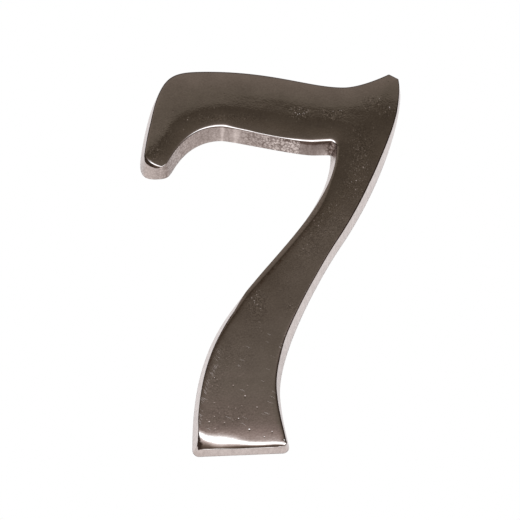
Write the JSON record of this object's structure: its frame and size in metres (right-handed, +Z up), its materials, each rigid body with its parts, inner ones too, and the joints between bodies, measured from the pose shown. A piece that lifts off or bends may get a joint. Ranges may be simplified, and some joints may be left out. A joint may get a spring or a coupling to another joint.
{
  "type": "house number",
  "caption": "Cast metal house numeral with a polished face, drafted walls and tapped holes in its flat back for hidden wall fixing.",
  "frame": {"origin": "the mouth of the lower fixing hole, in the plane of the wall", "axes": "+X along the bar in reading direction, +Z up the numeral, +Y into the wall; the polished face looks along -Y"},
  "size_m": [0.051, 0.0035, 0.0762],
  "materials": {
    "cast_aluminium": "hand-polished face, fettled walls, linished back"
  },
  "bodies": {
    "root": {"numeral": "cast_aluminium"}
  },
  "joints": []
}
